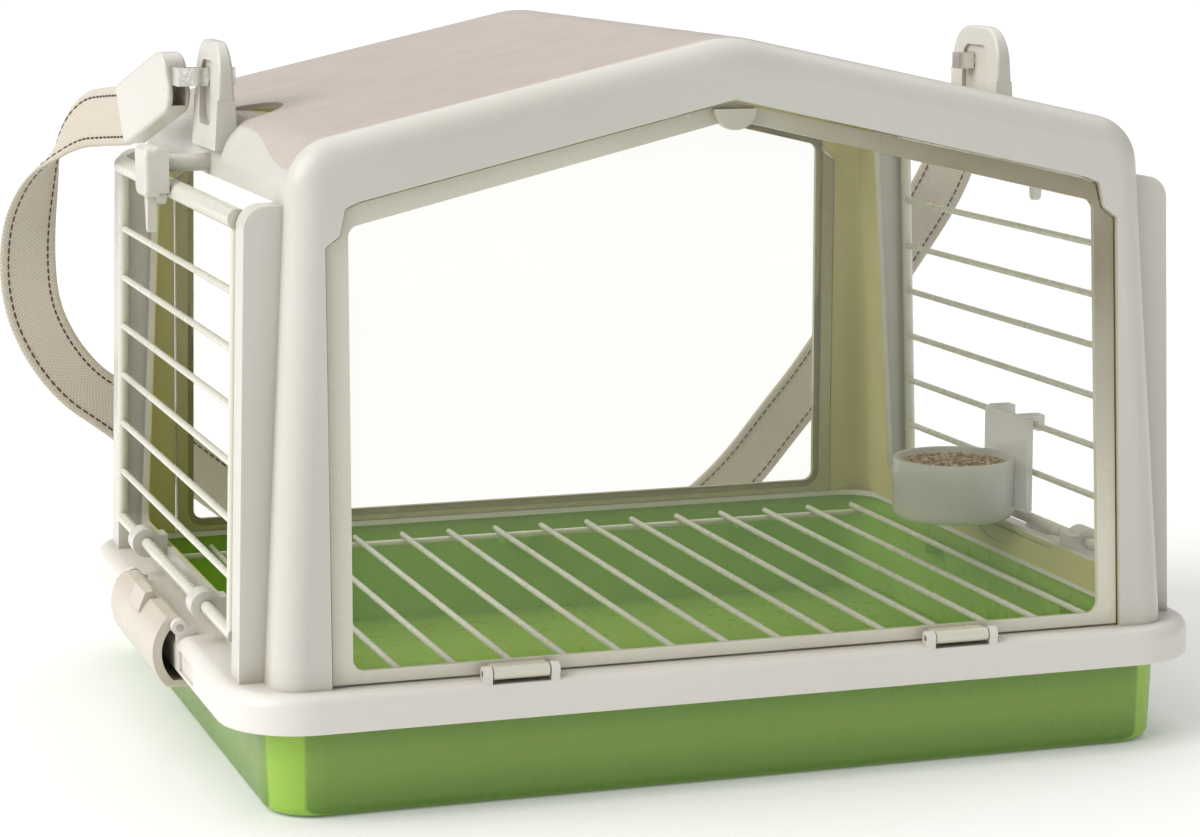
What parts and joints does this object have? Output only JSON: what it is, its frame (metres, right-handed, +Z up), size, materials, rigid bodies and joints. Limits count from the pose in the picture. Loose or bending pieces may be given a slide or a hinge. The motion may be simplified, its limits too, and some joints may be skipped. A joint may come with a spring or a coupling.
{
  "type": "bird travel carrier",
  "caption": "Travel carrier for a small bird: house-shaped cream shell with clear windows, wire end doors, wire floor, green tray and shoulder strap.",
  "frame": {"origin": "middle of the flat underside of the tray, on the surface it stands on", "axes": "+X along the carrier towards the end with the feeder, +Y from the hinged front window to the back, +Z up"},
  "size_m": [0.4414, 0.3663, 0.2864],
  "materials": {
    "tub_green": "translucent green moulded plastic",
    "cream_shell": "satin cream moulded plastic",
    "roof_beige": "satin beige moulded plastic",
    "cream_trim": "satin cream moulded plastic",
    "clip_beige": "satin beige moulded plastic",
    "wire_cream": "cream coated steel wire",
    "window_clear_frame": "clear to milky polished plastic",
    "window_clear": "clear polished plastic sheet",
    "pin_chrome": "polished plated steel",
    "pin_steel": "drawn steel wire",
    "webbing": "woven cream webbing with brown stitching",
    "feeder_clear": "translucent moulded plastic",
    "seed": "loose mixed seed"
  },
  "bodies": {
    "carrier": {"base_tub": "tub_green", "base_collar": "cream_shell", "floor_grille": "wire_cream", "front_gable": "cream_shell", "rear_gable": "cream_shell", "left_end_frame": "cream_shell", "right_end_frame": "cream_shell", "roof_shell": "cream_shell", "roof_panel": "roof_beige", "rear_window_frame": "window_clear_frame", "rear_window_pane": "window_clear", "left_window_pin": "pin_steel", "right_window_pin": "pin_steel", "right_catch_keeper": "cream_trim", "left_catch_keeper": "cream_trim", "left_clip_pin": "pin_steel", "right_clip_pin": "pin_steel", "right_strap_lug": "cream_shell", "left_strap_lug": "cream_shell", "shoulder_strap": "webbing"},
    "front_window": {"front_window_frame": "window_clear_frame", "front_window_pane": "window_clear"},
    "left_door": {"left_door_grille": "wire_cream"},
    "right_door": {"right_door_grille": "wire_cream"},
    "left_catch": {"left_door_catch": "cream_trim"},
    "right_catch": {"right_door_catch": "cream_trim"},
    "left_clip": {"left_base_clip": "clip_beige"},
    "right_clip": {"right_base_clip": "clip_beige"},
    "left_strap_end": {"left_strap_pin": "pin_chrome", "left_strap_hood": "cream_trim"},
    "right_strap_end": {"right_strap_pin": "pin_chrome", "right_strap_hood": "cream_trim"},
    "feeder": {"seed_feeder": "feeder_clear", "bird_seed": "seed"}
  },
  "joints": [
    {"name": "front_window_hinge", "type": "hinge", "parent": "carrier", "child": "front_window", "pos_m": [0, -0.1608, 0.0524], "axis": [1, 0, 0], "range_deg": [0, 90]},
    {"name": "left_door_hinge", "type": "hinge", "parent": "carrier", "child": "left_door", "pos_m": [-0.1909, 0, 0.065], "axis": [0, -1, 0], "range_deg": [0, 90]},
    {"name": "right_door_hinge", "type": "hinge", "parent": "carrier", "child": "right_door", "pos_m": [0.1909, 0, 0.065], "axis": [0, 1, 0], "range_deg": [0, 90]},
    {"name": "left_catch_turn", "type": "hinge", "parent": "left_door", "child": "left_catch", "pos_m": [-0.1955, 0, 0.222], "axis": [1, 0, 0], "range_deg": [0, 80]},
    {"name": "right_catch_turn", "type": "hinge", "parent": "right_door", "child": "right_catch", "pos_m": [0.1955, 0, 0.222], "axis": [1, 0, 0], "range_deg": [0, 80]},
    {"name": "left_clip_hinge", "type": "hinge", "parent": "carrier", "child": "left_clip", "pos_m": [-0.1985, 0, 0.0534], "axis": [0, 1, 0], "range_deg": [0, 70]},
    {"name": "right_clip_hinge", "type": "hinge", "parent": "carrier", "child": "right_clip", "pos_m": [0.1985, 0, 0.0534], "axis": [0, -1, 0], "range_deg": [0, 70]},
    {"name": "left_strap_swing", "type": "hinge", "parent": "carrier", "child": "left_strap_end", "pos_m": [-0.169, 0.0063, 0.267], "axis": [1, 0, 0], "range_deg": [0, 115]},
    {"name": "right_strap_swing", "type": "hinge", "parent": "carrier", "child": "right_strap_end", "pos_m": [0.169, 0.0063, 0.267], "axis": [1, 0, 0], "range_deg": [0, 115]},
    {"name": "feeder_lift", "type": "slide", "parent": "right_door", "child": "feeder", "axis": [0, 0, 1], "range_m": [0, 0.012]}
  ]
}
